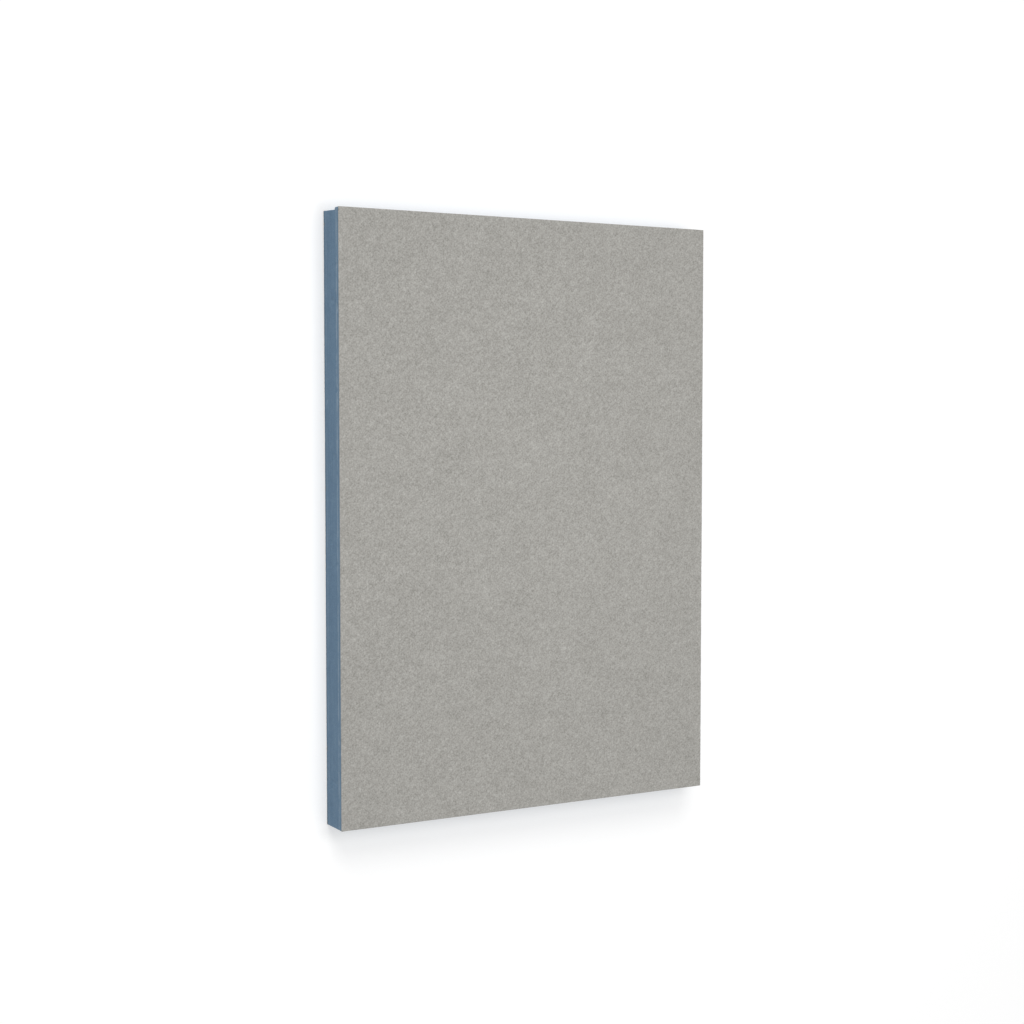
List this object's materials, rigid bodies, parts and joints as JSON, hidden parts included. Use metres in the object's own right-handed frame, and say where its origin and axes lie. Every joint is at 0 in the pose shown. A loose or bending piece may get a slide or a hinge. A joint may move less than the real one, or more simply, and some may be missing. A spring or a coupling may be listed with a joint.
{
  "type": "tile backer board",
  "caption": "Flat rectangular foam-core board with a grey cement coat on both faces and bare blue cut edges, for carrying wall tiles.",
  "frame": {"origin": "on the floor under the middle of the board, which lies flat with its front face up", "axes": "+X across the width to the picture's right, +Y along the length to the end that is at the top in the picture, +Z out of the front face"},
  "size_m": [0.6, 0.845, 0.05],
  "materials": {
    "blue_foam": "matte cut foam with fine closed cells",
    "grey_cement_coat": "matte, fine-grained polymer cement"
  },
  "bodies": {
    "root": {"foam_core": "blue_foam", "front_cement_coat": "grey_cement_coat", "back_cement_coat": "grey_cement_coat"}
  },
  "joints": []
}
